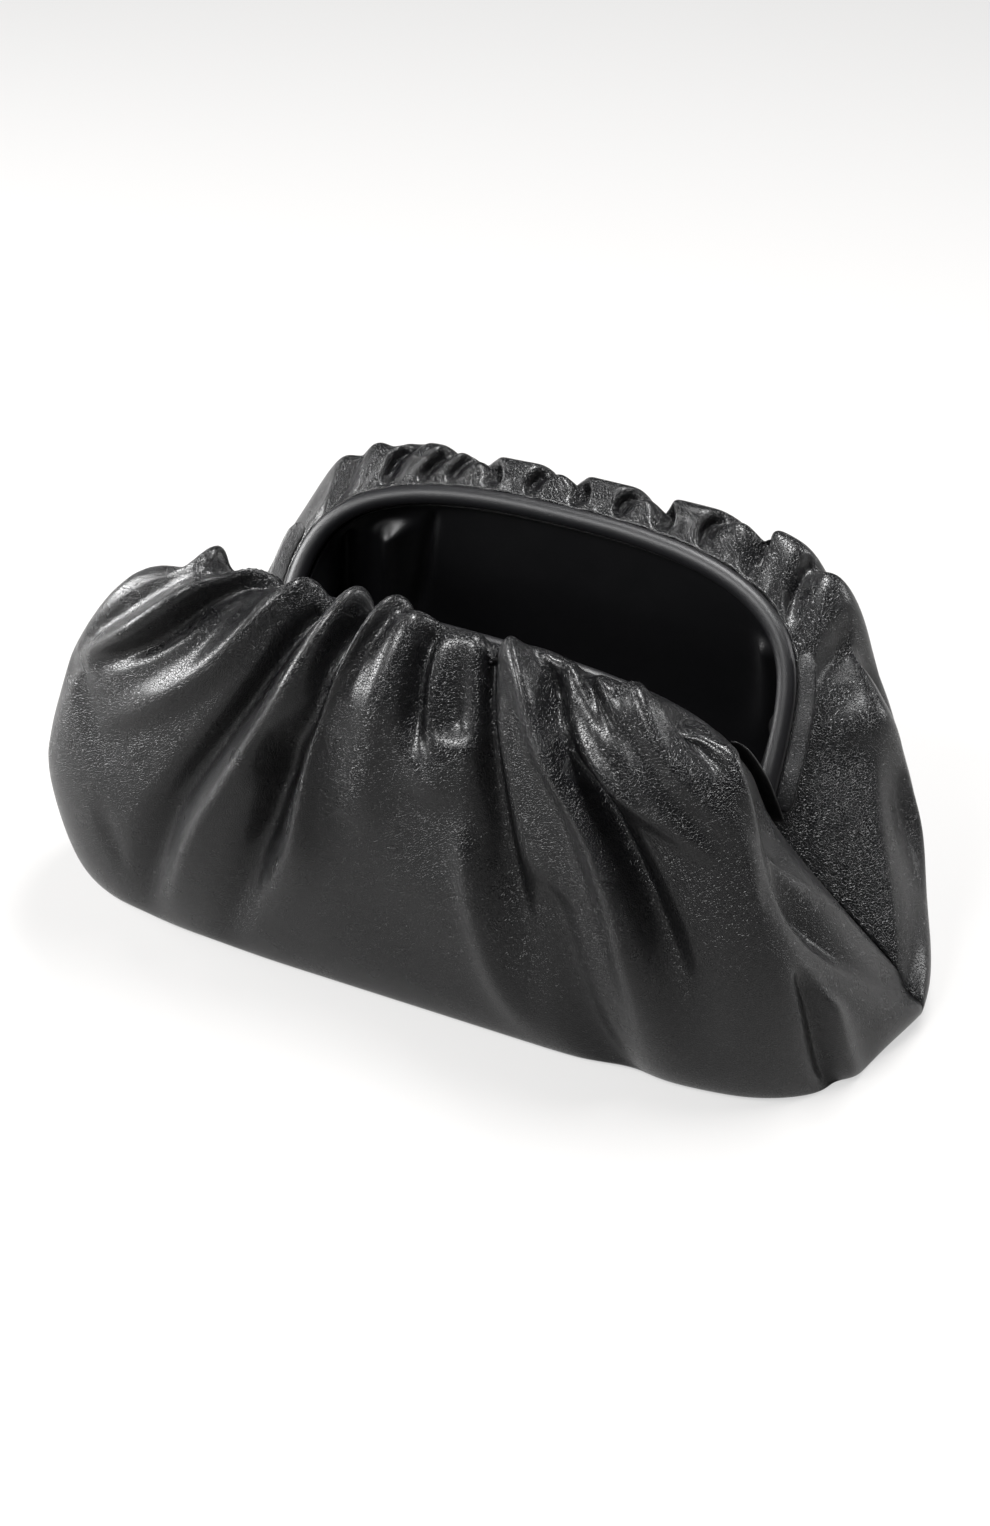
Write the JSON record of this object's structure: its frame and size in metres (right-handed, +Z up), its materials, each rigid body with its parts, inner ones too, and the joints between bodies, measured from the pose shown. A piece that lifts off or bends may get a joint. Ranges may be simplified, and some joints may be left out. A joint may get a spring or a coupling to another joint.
{
  "type": "gathered clutch bag",
  "caption": "Soft gathered leather clutch bag shown open, with pleated ruffled panels on a hinged leather-covered frame and a leather lining pouch.",
  "frame": {"origin": "on the floor, under the middle of the bag's box", "axes": "+X to the bag's right along its length, +Y to the back, +Z up; the mouth opens upwards between the front and back frames"},
  "size_m": [0.4076, 0.218, 0.1997],
  "materials": {
    "panel_leather": "soft smooth black nappa with a fine grain",
    "frame_leather": "smooth black leather drawn tight over the frame",
    "lining_leather": "smooth black lining leather",
    "hinge_metal": "black lacquered hinge"
  },
  "bodies": {
    "root": {"front_panel": "panel_leather", "back_panel": "panel_leather", "lining": "lining_leather", "front_frame": "frame_leather", "back_frame": "frame_leather", "strap_front_left": "frame_leather", "strap_front_right": "frame_leather", "strap_back_left": "frame_leather", "strap_back_right": "frame_leather", "hinge_left": "hinge_metal", "hinge_right": "hinge_metal"}
  },
  "joints": []
}
